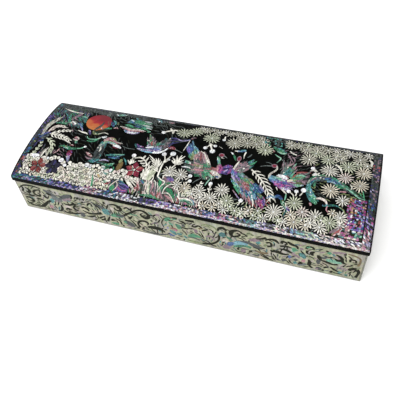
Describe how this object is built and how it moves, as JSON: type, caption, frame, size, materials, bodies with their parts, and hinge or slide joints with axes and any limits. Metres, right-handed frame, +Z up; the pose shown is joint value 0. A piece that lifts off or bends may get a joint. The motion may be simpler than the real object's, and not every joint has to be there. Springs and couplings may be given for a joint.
{
  "type": "mother of pearl brush case",
  "caption": "Long lacquered wooden box with an arched lift-off lid and shell panels on its sides, for keeping brushes or pens.",
  "frame": {"origin": "centre of the box's underside, on the surface it stands on", "axes": "+X along the box's length, +Y from the front to the back, +Z up through the lid"},
  "size_m": [0.332, 0.109, 0.0549],
  "materials": {
    "black_lacquer": "black lacquer, polished to a gloss, over wood",
    "pale_shell": "polished pale mother of pearl, cream with a faint green and pink lustre",
    "abalone_shell": "polished abalone shell in blue, green, violet and pink"
  },
  "bodies": {
    "root": {"case_body": "black_lacquer", "lid": "black_lacquer", "front_shell_panel": "pale_shell", "back_shell_panel": "pale_shell", "left_shell_panel": "pale_shell", "right_shell_panel": "pale_shell"}
  },
  "joints": []
}
